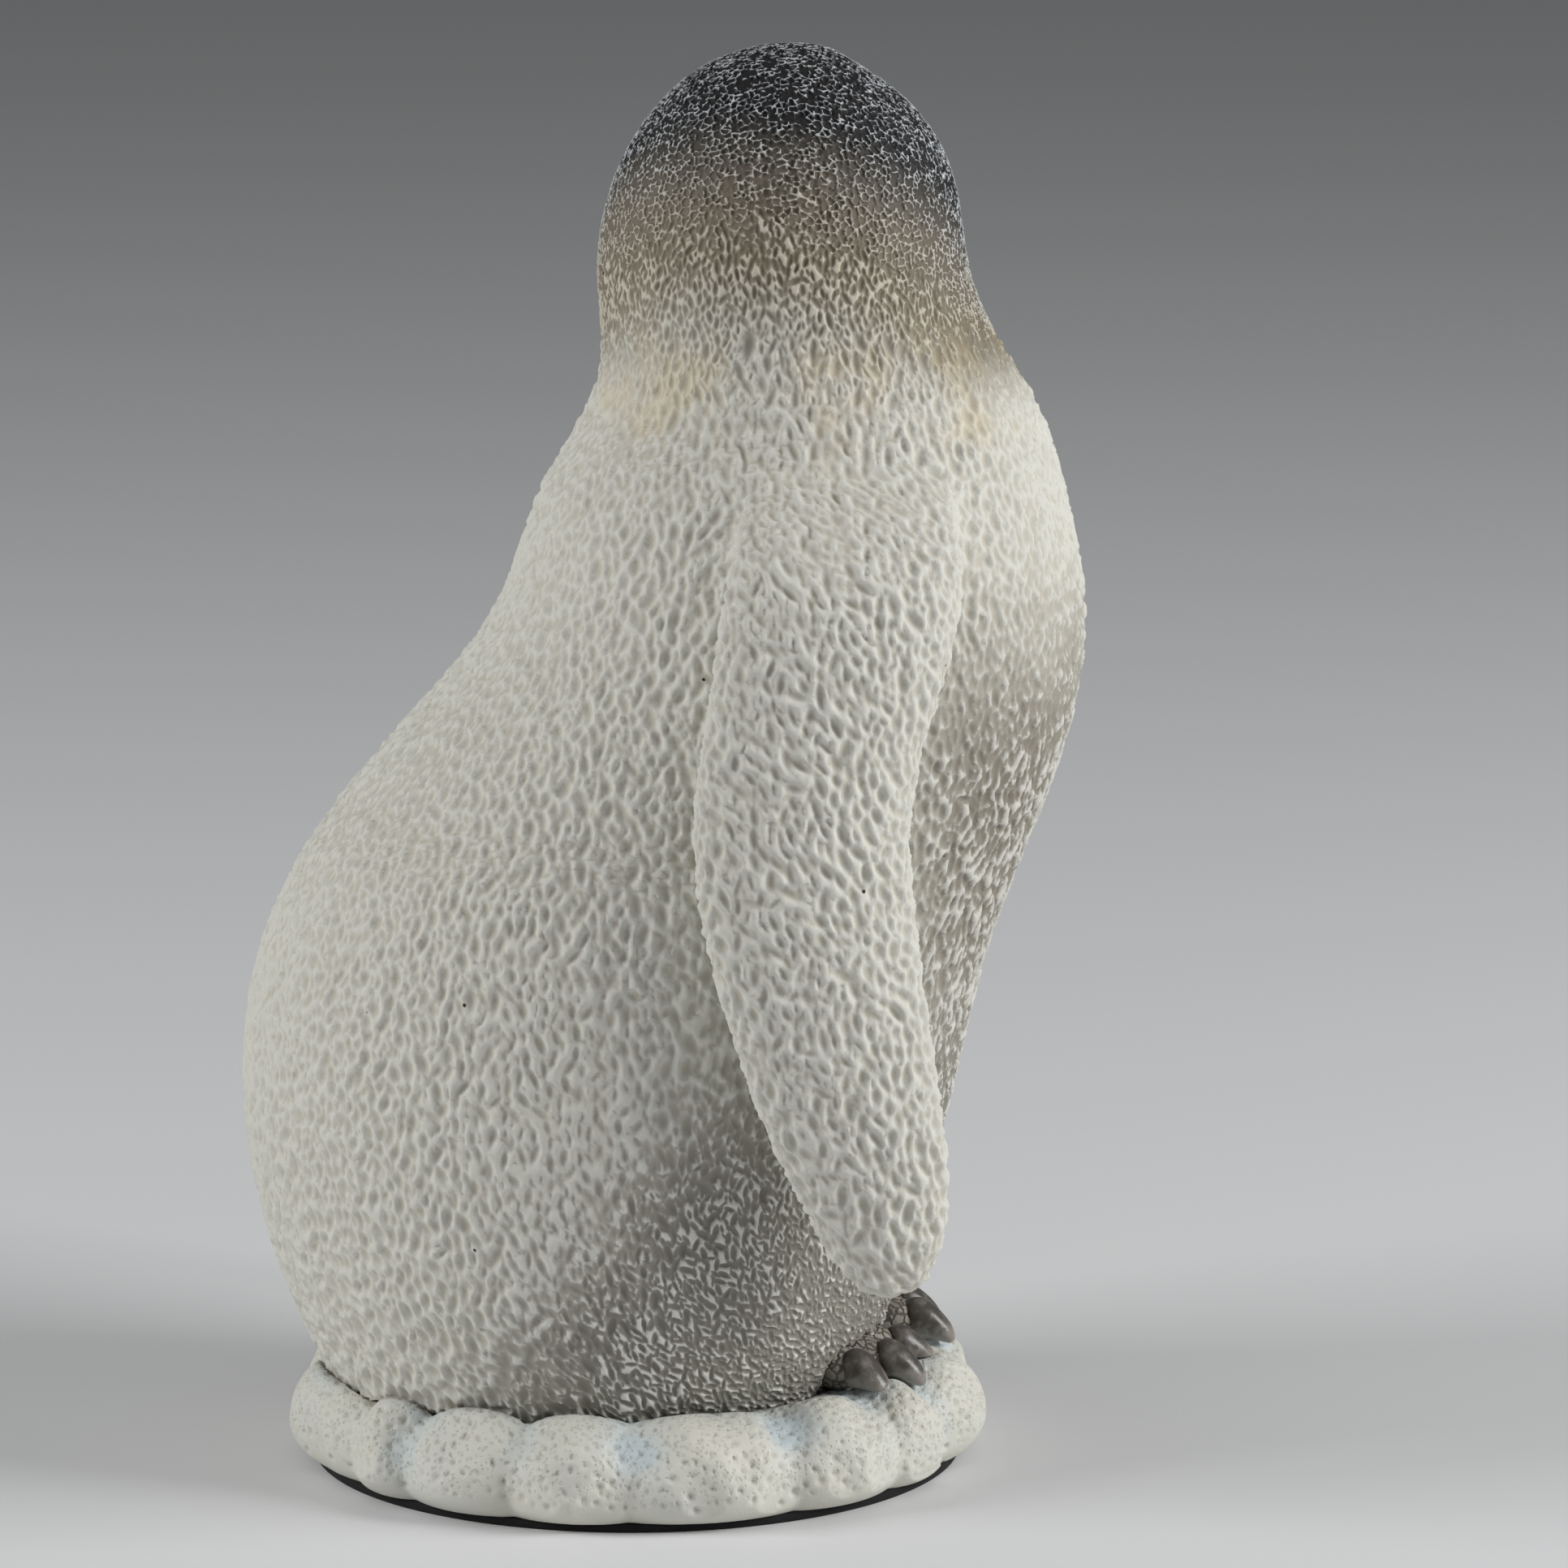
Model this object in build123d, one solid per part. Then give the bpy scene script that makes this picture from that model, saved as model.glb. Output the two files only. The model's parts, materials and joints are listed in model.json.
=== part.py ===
from build123d import *
import math
import os

# A penguin chick figurine: stone-resin castings, pinned and glued together on a snow base.
# Millimetres. The chick faces -Y, its right side is -X, and the felt under it rests on Z = 0.

# Felt pad
felt_thickness = 1.0
felt_inset = 3.6

# Snow base: a flat top inside a rim of uneven rounded lumps, in shares of the body's size
base_length_share = 0.983
base_width_share = 1.091
snow_depth = 10.5
lump_start_angle = -95.0
lump_turn_shares = (0.110, 0.039, 0.058, 0.056, 0.082, 0.061, 0.043, 0.084,
                    0.067, 0.050, 0.078, 0.044, 0.072, 0.056, 0.100)
# Rings from the foot over the rim to the flat top: crest height and groove height as shares of
# snow_depth, then crest reach and groove reach as shares of the base's half size
rim_ring_shares = ((0.00, 0.00, 0.930, 0.900),
                   (0.46, 0.44, 1.000, 0.940),
                   (0.88, 0.80, 0.960, 0.890),
                   (1.14, 0.98, 0.860, 0.800),
                   (1.00, 1.00, 0.720, 0.720))

# Body: level sections from its seat in the snow to the neck
seat_depth = 1.0
body_height = 121.5
body_length = 88.0
body_width = 77.0
body_wall = 7.0
body_floor = 9.0
neck_plug = 20.0
pour_hole_diameter = 10.0
# Height, back, front and half width as shares of body_height, body_length, body_length, body_width
body_section_shares = ((0.000, -0.436, 0.315, 0.405),
                       (0.075, -0.480, 0.360, 0.452),
                       (0.187, -0.528, 0.407, 0.486),
                       (0.320, -0.544, 0.452, 0.500),
                       (0.436, -0.518, 0.491, 0.500),
                       (0.552, -0.438, 0.550, 0.488),
                       (0.668, -0.307, 0.604, 0.469),
                       (0.784, -0.186, 0.620, 0.447),
                       (0.900, -0.125, 0.590, 0.400),
                       (1.000, -0.052, 0.537, 0.331))

# Head: turned to the chick's left, so that its length lies mostly along X
head_height = 40.4
head_length = 46.8
head_width = 44.8
head_setback = 3.24
face_turn = 75.0
# Height, forward shift, half width and half length as shares of head_height, head_width,
# head_width and head_length, from the collar to the level where the crown starts
head_section_shares = ((0.15, 0.037, 0.528, 0.513),
                       (0.32, 0.000, 0.500, 0.500))
crown_angles = (25.0, 50.0, 70.0)

# Eyes: glass balls in round sockets
eye_diameter = 5.6
eye_proud = 1.3
eye_rise = 20.5
eye_turn = 40.0

# Bill: short, hooked down, in two halves that meet at the mouth line
bill_length = 10.5
bill_half_width = 3.6
upper_half_height = 2.5
lower_half_height = 1.7
bill_drop = 3.2
bill_rise = 15.2
bill_root_depth = 3.0
bill_peg_diameter = 3.2
bill_peg_length = 6.0
# Along, half width, half height and drop as shares of the bill's own sizes, to a point
upper_bill_shares = ((0.00, 1.00, 1.00, 0.00),
                     (0.40, 0.80, 0.85, 0.10),
                     (0.80, 0.42, 0.55, 0.45),
                     (0.95, 0.20, 0.28, 0.80),
                     (1.00, 0.00, 0.00, 1.00))
lower_bill_shares = ((0.00, 0.90, 1.00, 0.00),
                     (0.40, 0.68, 0.84, 0.04),
                     (0.70, 0.36, 0.50, 0.10),
                     (0.86, 0.00, 0.00, 0.12))

# Flippers: blades that hang from the shoulders
flipper_length_share = 0.823
flipper_chord = 29.0
flipper_thickness = 12.0
flipper_drop = 4.0
flipper_forward_share = 0.232
flipper_standoff = 1.1
flipper_turn = 12.0
# Height, half chord, half thickness, forward shift and shift towards the body as shares of
# flipper_length, flipper_chord, flipper_thickness, flipper_chord and flipper_thickness
flipper_section_shares = ((0.000, 0.000, 0.00, 0.360, 0.26),
                          (0.012, 0.130, 0.14, 0.355, 0.25),
                          (0.050, 0.225, 0.24, 0.335, 0.20),
                          (0.110, 0.300, 0.31, 0.297, 0.14),
                          (0.190, 0.362, 0.36, 0.228, 0.07),
                          (0.320, 0.414, 0.40, 0.117, 0.00),
                          (0.460, 0.445, 0.42, 0.021, 0.00),
                          (0.600, 0.455, 0.43, 0.000, 0.07),
                          (0.740, 0.490, 0.46, 0.100, 0.23),
                          (0.860, 0.500, 0.50, 0.166, 0.53),
                          (0.940, 0.431, 0.47, 0.186, 1.01),
                          (1.000, 0.310, 0.33, 0.193, 1.55))

# Feet: an instep set into the body, and three toes
foot_spread = 9.0
foot_setback = 12.2
foot_splay = 15.0
left_stride = 2.5
instep_half_length = 9.0
instep_half_width = 8.0
instep_height = 7.0
toe_half_width = 3.0
toe_half_height = 2.9
web_height = 2.2
web_share = 0.80
toe_names = ("outer", "middle", "inner")
toe_angles = (22.0, 0.0, -24.0)
toe_lengths = (15.0, 16.5, 17.5)
# Size across and height as shares of the instep's own sizes, to the top
instep_shares = ((1.00, 0.00), (0.90, 0.45), (0.55, 0.85), (0.00, 1.00))
# Along, half width, half height and drop as shares of the toe's own sizes, to the tip
toe_shares = ((0.00, 0.80, 0.90, 0.00),
              (0.50, 0.92, 1.00, 0.00),
              (0.82, 0.94, 0.92, 0.10),
              (0.96, 0.56, 0.52, 0.18),
              (1.00, 0.00, 0.00, 0.22))

# Claws: blunt hooked nails, pegged into the toes
claw_length = 6.6
claw_half_width = 2.3
claw_half_height = 2.6
claw_drop = 2.4
claw_rise = 2.8
claw_root_depth = 2.6
claw_peg_diameter = 2.0
claw_peg_length = 2.4
# Along, half width, half height and drop as shares of the claw's own sizes, to the tip
claw_shares = ((0.00, 0.70, 0.66, 0.00),
               (0.40, 1.00, 0.98, 0.06),
               (0.78, 0.74, 0.66, 0.52),
               (0.95, 0.44, 0.38, 0.86),
               (1.00, 0.00, 0.00, 0.95))

# Pins and dowel that carry the castings
neck_dowel_diameter = 8.0
neck_dowel_length = 28.0
flipper_pin_diameter = 3.0
flipper_pin_length = 9.0
flipper_pin_drop = 20.0
flipper_pin_ahead = 4.1
base_pin_diameter = 4.0
base_pin_length = 12.0
base_pin_spacing = 30.0
base_pin_setback = 18.0

# Fits
glue_gap = 0.2
pin_gap = 0.1
cut_overrun = 2.0

# Levels and sides that the pieces share
snow_top = felt_thickness + snow_depth
seat_level = snow_top - seat_depth
neck_level = seat_level + body_height
crown_level = neck_level + head_section_shares[-1][0] * head_height
head_top = neck_level + head_height
base_length = base_length_share * body_length
base_width = base_width_share * body_width
neck_forward = (body_section_shares[-1][1] + body_section_shares[-1][2]) / 2 * body_length
head_forward = neck_forward - head_setback
flipper_length = flipper_length_share * body_height
flipper_bottom = neck_level - flipper_drop - flipper_length
flipper_forward = flipper_forward_share * body_length
flipper_outward = body_width / 2 + flipper_standoff
foot_forward = body_section_shares[0][2] * body_length - foot_setback
sides = {"right": -1, "left": 1}
ring_points = 8


def ring(spot, half_x, half_y):
    """A closed smooth oval on a plane, or the plane's own point where its size is zero."""
    if half_x == 0:
        return Vertex(*spot.origin)
    angles = [2 * math.pi * step / ring_points for step in range(ring_points + 1)]
    points = [spot.from_local_coords((half_x * math.cos(a), half_y * math.sin(a), 0)) for a in angles]
    points[-1] = points[0]
    pull = spot.y_dir * half_y
    return Face(Wire([Edge.make_spline(points, tangents=[pull, pull], parameters=angles, scale=False)]))


def level_at(x, y, z):
    """A level plane at a place."""
    return Plane((x, y, z))


def hook(rows_shares, length, half_width, half_height, drop):
    """A tapering limb from the origin along +X, through upright ovals that sink along its length."""
    sections = []
    for along, wide, high, sink in rows_shares:
        spot = Plane((along * length, 0, -sink * drop), x_dir=(0, 1, 0), z_dir=(1, 0, 0))
        sections.append(ring(spot, wide * half_width, high * half_height))
    return loft(sections)


def body_sections(grow):
    """The body's level sections from its seat to the neck, grown by a gap or shrunk by a wall."""
    sections = []
    for height, back, front, half in body_section_shares:
        middle = (front + back) / 2 * body_length
        reach = (front - back) / 2 * body_length
        spot = level_at(0, -middle, seat_level + height * body_height)
        sections.append(ring(spot, half * body_width + grow, reach + grow))
    return sections


def figure_skin(grow):
    """Body and head as one smooth form from the seat to the crown, grown by a gap."""
    sections = body_sections(grow)
    for height, shift, wide, long in head_section_shares:
        spot = level_at(0, -head_forward - shift * head_width, neck_level + height * head_height)
        sections.append(ring(spot, long * head_length + grow, wide * head_width + grow))
    half_x = head_length / 2 + grow
    half_y = head_width / 2 + grow
    crown_height = head_top - crown_level + grow
    for angle in crown_angles:
        inward = math.cos(math.radians(angle))
        spot = level_at(0, -head_forward, crown_level + crown_height * math.sin(math.radians(angle)))
        sections.append(ring(spot, half_x * inward, half_y * inward))
    sections.append(Vertex(0, -head_forward, crown_level + crown_height))
    return loft(sections)


def body_side(level):
    """The body's half width at a level, between the two nearest sections."""
    share = (level - seat_level) / body_height
    for lower, upper in zip(body_section_shares, body_section_shares[1:]):
        if lower[0] <= share <= upper[0]:
            part = (share - lower[0]) / (upper[0] - lower[0])
            return (lower[3] + part * (upper[3] - lower[3])) * body_width
    return body_section_shares[-1][3] * body_width


def face_place(turn, rise):
    """A place on the head at a turn from the face and a rise above the neck, with X outwards."""
    angle = math.radians(face_turn + turn)
    across, ahead = math.sin(angle), -math.cos(angle)
    level = neck_level + rise
    crown_share = max((level - crown_level) / (head_top - crown_level), 0)
    reach = math.sqrt(1 - crown_share ** 2) / 2 / math.hypot(across / head_length, ahead / head_width)
    spot = (across * reach, ahead * reach - head_forward, level)
    return Plane(spot, x_dir=(across, ahead, 0), z_dir=(0, 0, 1))


def felt_pad():
    """The felt glued under the base."""
    outline = ring(level_at(0, 0, 0), base_width / 2 - felt_inset, base_length / 2 - felt_inset)
    return extrude(outline, felt_thickness)


def rim_place(turned, reach, height):
    """A place on the base's rim, at a share of a turn, of its half size and of its depth."""
    angle = math.radians(lump_start_angle + turned * 360)
    x = -reach * base_width / 2 * math.cos(angle)
    y = -reach * base_length / 2 * math.sin(angle)
    return (x, y, felt_thickness + height * snow_depth)


def rim_ring(crest_height, groove_height, crest_reach, groove_reach):
    """A ring of arcs, one over each lump, that meet in the grooves."""
    arcs = []
    turned = 0
    for turn in lump_turn_shares:
        start = rim_place(turned, groove_reach, groove_height)
        crest = rim_place(turned + turn / 2, crest_reach, crest_height)
        turned += turn
        end = rim_place(turned, groove_reach, groove_height)
        arcs.append(Edge.make_three_point_arc(start, crest, end))
    return Wire(arcs)


def snow_base(pocket):
    """The snow, lofted over its lumpy rim, with room for the body and holes for its pins."""
    snow = Solid.make_loft([rim_ring(*shares) for shares in rim_ring_shares])
    return snow - pocket - base_pins(pin_gap)


def base_pins(gap):
    """The two pins that hold the body on the base, grown by a gap for their holes."""
    pin = Cylinder(base_pin_diameter / 2 + gap, base_pin_length + gap)
    places = [Pos(side * base_pin_spacing / 2, base_pin_setback, seat_level) for side in sides.values()]
    return Compound([place * pin for place in places])


def neck_dowel(gap):
    """The dowel between body and head, grown by a gap for its holes."""
    dowel = Cylinder(neck_dowel_diameter / 2 + gap, neck_dowel_length + gap)
    return Pos(0, -head_forward, neck_level) * dowel


def flipper_pin(side, gap):
    """The pin from the body's wall into a flipper's root, grown by a gap for its hole."""
    level = neck_level - flipper_pin_drop
    pin = Cylinder(flipper_pin_diameter / 2 + gap, flipper_pin_length + gap, rotation=(0, 90, 0))
    return Pos(side * body_side(level), -flipper_forward - flipper_pin_ahead, level) * pin


def body_cavity():
    """The hollow that slush casting leaves, between the floor and the plug under the neck."""
    hollow = loft(body_sections(-body_wall))
    hollow = split(hollow, Plane.XY.offset(seat_level + body_floor), keep=Keep.TOP)
    return split(hollow, Plane.XY.offset(neck_level - neck_plug), keep=Keep.BOTTOM)


def torso(skin, foot_sockets):
    """The hollow body below the neck joint, with sockets for the feet and holes for the pins."""
    shell = split(skin, Plane.XY.offset(neck_level), keep=Keep.BOTTOM) - body_cavity()
    hole_length = body_floor + 2 * cut_overrun
    pour_hole = Pos(0, 0, seat_level + body_floor / 2) * Cylinder(pour_hole_diameter / 2, hole_length)
    shell = shell - pour_hole - foot_sockets - base_pins(pin_gap) - neck_dowel(pin_gap)
    for side in sides.values():
        shell = shell - flipper_pin(side, pin_gap)
    return shell


def eye(side, gap):
    """A glass ball that stands a little proud of the face, grown by a gap for its socket."""
    ball = Pos(eye_proud - eye_diameter / 2, 0, 0) * Rot(0, 90, 0) * Sphere(eye_diameter / 2 + gap)
    return face_place(-side * eye_turn, eye_rise) * ball


def peg(diameter, back, front, gap):
    """A round peg along X from behind the origin to in front of it, grown by a gap for its hole."""
    rod = Cylinder(diameter / 2 + gap, back + front + gap, rotation=(0, 90, 0))
    return Pos((front - back) / 2, 0, 0) * rod


def bill_peg(gap):
    """The peg behind the bill, grown by a gap for its hole."""
    return face_place(0, bill_rise) * peg(bill_peg_diameter, bill_peg_length, bill_peg_diameter / 2, gap)


def bill(pocket):
    """Both halves of the bill, fitted to the face, with the peg that carries them."""
    reach = bill_length + bill_root_depth
    upper = hook(upper_bill_shares, reach, bill_half_width, upper_half_height, bill_drop)
    lower = hook(lower_bill_shares, reach, bill_half_width, lower_half_height, bill_drop)
    halves = Pos(0, 0, upper_half_height / 2) * upper + Pos(0, 0, -lower_half_height) * lower
    return face_place(0, bill_rise) * Pos(-bill_root_depth, 0, 0) * halves - pocket + bill_peg(0)


def head(skin):
    """The head above the neck joint, with eye sockets and holes for the bill and the dowel."""
    block = split(skin, Plane.XY.offset(neck_level), keep=Keep.TOP)
    block = block - neck_dowel(pin_gap) - bill_peg(pin_gap)
    for side in sides.values():
        block = block - eye(side, pin_gap)
    return block


def flipper(side, pocket):
    """A hanging blade whose root is shaped to the shoulder and bored for its pin."""
    sections = []
    for height, chord, thick, forward, inward in flipper_section_shares:
        x = side * (flipper_outward - inward * flipper_thickness)
        y = -flipper_forward - forward * flipper_chord
        spot = level_at(x, y, flipper_bottom + height * flipper_length)
        spot = spot.rotated((0, 0, -side * flipper_turn))
        sections.append(ring(spot, thick * flipper_thickness, chord * flipper_chord))
    return loft(sections) - pocket - flipper_pin(side, pin_gap)


def foot_plane(side):
    """The place on the snow under an instep, with X along the foot."""
    stride = left_stride if side > 0 else 0
    angle = math.radians(foot_splay)
    spot = (side * foot_spread, -foot_forward - stride, snow_top)
    return Plane(spot, x_dir=(side * math.sin(angle), -math.cos(angle), 0), z_dir=(0, 0, 1))


def toe_frame(side, angle):
    """The place under an instep, with X along one toe."""
    return foot_plane(side).rotated((0, 0, side * angle))


def toe_web(side, gap):
    """The web that spans the toes, from the body's seat up, grown by a gap."""
    corners = [(0, 0)]
    for angle, length in zip(toe_angles, toe_lengths):
        turn = math.radians(side * angle)
        reach = web_share * length + gap
        corners.append((reach * math.cos(turn), reach * math.sin(turn)))
    fan = make_face(Polyline(*corners, close=True))
    web = extrude(fan, seat_depth + web_height + gap, dir=(0, 0, 1))
    return foot_plane(side) * Pos(0, 0, -seat_depth) * web


def foot_form(side, gap):
    """An instep and three webbed toes on the snow, grown by a gap for their socket in the body."""
    domes = []
    for across, height in instep_shares:
        spot = level_at(0, 0, height * (instep_height + gap))
        domes.append(ring(spot, across * (instep_half_length + gap), across * (instep_half_width + gap)))
    form = foot_plane(side) * loft(domes) + toe_web(side, gap)
    for angle, length in zip(toe_angles, toe_lengths):
        half_width, half_height = toe_half_width + gap, toe_half_height + gap
        toe = hook(toe_shares, length + gap, half_width, half_height, toe_half_height)
        form = form + toe_frame(side, angle) * Pos(0, 0, toe_half_height) * toe
    return split(form, Plane.XY.offset(seat_level), keep=Keep.TOP)


def claw_root(side, angle, length):
    """The place inside the end of a toe where its claw starts."""
    return toe_frame(side, angle) * Pos(length - claw_root_depth, 0, claw_rise)


def claw_peg(root, gap):
    """The peg behind a claw, through the end of its toe, grown by a gap for its hole."""
    return root * peg(claw_peg_diameter, claw_peg_length, claw_root_depth + claw_peg_diameter / 2, gap)


def foot(side, form):
    """A foot bored for the pegs of its claws."""
    for angle, length in zip(toe_angles, toe_lengths):
        form = form - claw_peg(claw_root(side, angle, length), pin_gap)
    return form


def claw(root, form, snow, pocket):
    """A blunt hooked nail fitted over the end of its toe, clear of the snow and the body."""
    nail = root * hook(claw_shares, claw_length, claw_half_width, claw_half_height, claw_drop)
    return nail - form - snow - pocket + claw_peg(root, 0)


def figurine():
    """Every piece of the figurine by name."""
    skin = figure_skin(0)
    pocket = figure_skin(glue_gap)
    snow = snow_base(pocket)
    sockets = [foot_form(side, glue_gap) for side in sides.values()]
    pieces = {"felt_pad": felt_pad(), "snow_base": snow, "base_pins": base_pins(0)}
    pieces["torso"] = torso(skin, sockets)
    pieces["neck_dowel"] = neck_dowel(0)
    pieces["head"] = head(skin)
    pieces["bill"] = bill(pocket)
    for name, side in sides.items():
        pieces[f"{name}_eye"] = eye(side, 0)
        pieces[f"{name}_flipper"] = flipper(side, pocket)
        pieces[f"{name}_flipper_pin"] = flipper_pin(side, 0)
        form = foot_form(side, 0) - snow
        pieces[f"{name}_foot"] = foot(side, form)
        for toe, angle, length in zip(toe_names, toe_angles, toe_lengths):
            pieces[f"{name}_{toe}_claw"] = claw(claw_root(side, angle, length), form, snow, pocket)
    return pieces


os.makedirs("parts", exist_ok=True)
for node, piece in figurine().items():
    export_step(piece, f"parts/{node}.step")
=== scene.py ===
import json
import logging
import math
from dataclasses import dataclass
from enum import Enum
from functools import partialmethod
from typing import Any, Callable, Dict, List, Optional, Tuple, TypeVar

import bpy
import numpy as np
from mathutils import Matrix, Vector, noise
from mathutils.bvhtree import BVHTree
from mathutils.kdtree import KDTree

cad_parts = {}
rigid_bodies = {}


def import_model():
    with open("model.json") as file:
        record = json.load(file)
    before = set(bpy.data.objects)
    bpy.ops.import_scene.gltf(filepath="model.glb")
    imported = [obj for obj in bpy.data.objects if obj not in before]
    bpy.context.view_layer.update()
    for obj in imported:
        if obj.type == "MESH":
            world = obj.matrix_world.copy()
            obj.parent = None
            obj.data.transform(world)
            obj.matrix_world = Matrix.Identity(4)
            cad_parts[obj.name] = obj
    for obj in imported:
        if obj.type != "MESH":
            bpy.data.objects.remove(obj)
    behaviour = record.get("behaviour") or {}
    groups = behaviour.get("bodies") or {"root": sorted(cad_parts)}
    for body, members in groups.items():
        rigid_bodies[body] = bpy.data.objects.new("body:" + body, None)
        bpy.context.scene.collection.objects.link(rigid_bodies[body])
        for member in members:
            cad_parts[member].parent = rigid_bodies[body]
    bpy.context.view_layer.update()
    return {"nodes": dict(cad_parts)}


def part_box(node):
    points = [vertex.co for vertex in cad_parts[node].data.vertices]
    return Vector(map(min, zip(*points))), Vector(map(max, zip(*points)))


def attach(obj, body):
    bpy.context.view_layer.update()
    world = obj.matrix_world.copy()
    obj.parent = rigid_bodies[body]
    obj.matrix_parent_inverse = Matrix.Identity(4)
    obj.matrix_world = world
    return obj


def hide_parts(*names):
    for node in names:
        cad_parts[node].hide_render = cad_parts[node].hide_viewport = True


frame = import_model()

MM = 0.001
ROOT = "root"
LOG = logging.getLogger("figurine")
# In millimetres: farther than any distance that counts, and how close corners are merged.
FAR, WELD = 99.0, 0.002
# The decimals by which vertices are matched, and the steps of a vertex group's weights.
DECIMALS, WEIGHT_STEPS = 5, 16
# The Z of a normal below which a face counts as flat underside, and a length that counts as none.
FLAT_DOWN, TINY = -0.95, 1e-6
# The mean of the shaders' noise, and what the noise on the meshes starts from.
NOISE_MEAN, NOISE_SEED = 0.5, 7
# The pieces of the skin by label, and the first label of the torso's bands and of the head's.
PIECES = {1: "right_flipper", 2: "left_flipper", 4: "torso_seat", 5: "torso_haunch", 6: "torso_hip",
          7: "torso_loin", 8: "torso_waist", 9: "torso_shoulder", 10: "head_nape", 11: "head_brow",
          12: "head_crown"}
TORSO_LABEL, HEAD_LABEL = 4, 10

Colour = Tuple[float, float, float]
Place = Tuple[float, float, float]
Span = Tuple[float, float]
Thing = bpy.types.Object
Array = np.ndarray
Measure = TypeVar("Measure", np.ndarray, "Shade")


class Slot(Enum):
    """The record's material slots, named alongside each piece that is handed over."""

    FELT = "felt"
    SNOW = "snow"
    DOWN = "down"
    HEAD = "head_down"
    FOOT = "foot"
    HORN = "horn"
    EYE = "eye_glass"


class Side(Enum):
    """The chick's two sides, with the sign of X on each."""

    RIGHT = -1
    LEFT = 1

    @property
    def word(self) -> str:
        """The side's name as the CAD nodes spell it."""
        return self.name.lower()


def paint(red: int, green: int, blue: int) -> Colour:
    """Turns a display colour of 0 to 255 into the linear one that the shaders use.

    Args:
        red: Red as displayed.
        green: Green as displayed.
        blue: Blue as displayed.

    Returns:
        The linear colour.
    """
    shares = [value / 255 for value in (red, green, blue)]
    return tuple(s / 12.92 if s <= 0.04045 else ((s + 0.055) / 1.055) ** 2.4 for s in shares)


class Shade:
    """A node socket with arithmetic: an expression on it adds Math nodes to its tree."""

    def __init__(self, sheet: "Sheet", socket: bpy.types.NodeSocket) -> None:
        """Keeps the tree and the socket."""
        self.sheet = sheet
        self.socket = socket

    def math(self, operation: str, *values: Any) -> "Shade":
        """Adds a Math node of an operation on this socket and further values."""
        inputs = dict(enumerate((self, *values)))
        return self.sheet.node("ShaderNodeMath", {"operation": operation}, inputs)

    __add__ = partialmethod(math, "ADD")
    __sub__ = partialmethod(math, "SUBTRACT")
    __mul__ = partialmethod(math, "MULTIPLY")
    __truediv__ = partialmethod(math, "DIVIDE")
    __pow__ = partialmethod(math, "POWER")

    def __rsub__(self, other: Any) -> "Shade":
        """Another value less this one."""
        return self.sheet.node("ShaderNodeMath", {"operation": "SUBTRACT"}, {0: other, 1: self})

    def partly(self, share: float) -> "Shade":
        """This value mixed with 1, of which it has a share."""
        return self * share + (1 - share)

    def step(self, low: float, high: float) -> "Shade":
        """Rises smoothly from 0 at a low value to 1 at a high one, or falls if they are swapped.

        Args:
            low: The value that gives 0.
            high: The value that gives 1.

        Returns:
            The smooth step.
        """
        ends = (0, 1) if low < high else (1, 0)
        inputs = {0: self, 1: min(low, high), 2: max(low, high), 3: ends[0], 4: ends[1]}
        return self.sheet.node("ShaderNodeMapRange", {"interpolation_type": "SMOOTHSTEP"}, inputs)


class Sheet:
    """A material's node tree, filled one node at a time."""

    def __init__(self, tree: bpy.types.NodeTree) -> None:
        """Keeps the tree."""
        self.tree = tree

    def node(self, kind: str, settings: Optional[Dict[str, Any]] = None,
             inputs: Optional[Dict[Any, Any]] = None, output: Any = 0) -> Shade:
        """Adds a node, sets it up and links or fills its sockets.

        Args:
            kind: The node's type.
            settings: The node's own properties, set before its sockets.
            inputs: Values or links by socket name or number.
            output: The name or number of the output that is wanted.

        Returns:
            The output, ready for arithmetic.
        """
        made = self.tree.nodes.new(kind)
        for key, value in (settings or {}).items():
            setattr(made, key, value)
        for key, value in (inputs or {}).items():
            socket = made.inputs[key]
            if isinstance(value, Shade):
                self.tree.links.new(value.socket, socket)
            elif isinstance(value, tuple) and len(value) == 3 and len(socket.default_value) == 4:
                socket.default_value = (*value, 1.0)
            else:
                socket.default_value = value
        return Shade(self, made.outputs[output])

    def vector(self, operation: str, inputs: Dict[Any, Any]) -> Shade:
        """Adds a Vector Math node of an operation."""
        return self.node("ShaderNodeVectorMath", {"operation": operation}, inputs)

    def mix(self, share: Any, first: Any, second: Any) -> Shade:
        """Mixes two colours, from the first at 0 to the second at 1."""
        return self.node("ShaderNodeMix", {"data_type": "RGBA"}, {0: share, 6: first, 7: second}, 2)

    def noise(self, place: Shade, size: float, detail: float = 2.0, output: Any = 0) -> Shade:
        """Smooth noise with blotches of a size in the units of its place."""
        inputs = {"Vector": place, "Scale": 1 / size, "Detail": detail}
        return self.node("ShaderNodeTexNoise", None, inputs, output)

    def cells(self, place: Shade, scale: float, feature: str = "F1") -> Shade:
        """A feature of scattered cells, so many in a unit of its place."""
        return self.node("ShaderNodeTexVoronoi", {"feature": feature}, {"Vector": place, "Scale": scale})

    def parts(self, place: Shade) -> List[Shade]:
        """The X, Y and Z of a vector."""
        split = self.node("ShaderNodeSeparateXYZ", None, {0: place})
        return [Shade(self, socket) for socket in split.socket.node.outputs]


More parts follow.
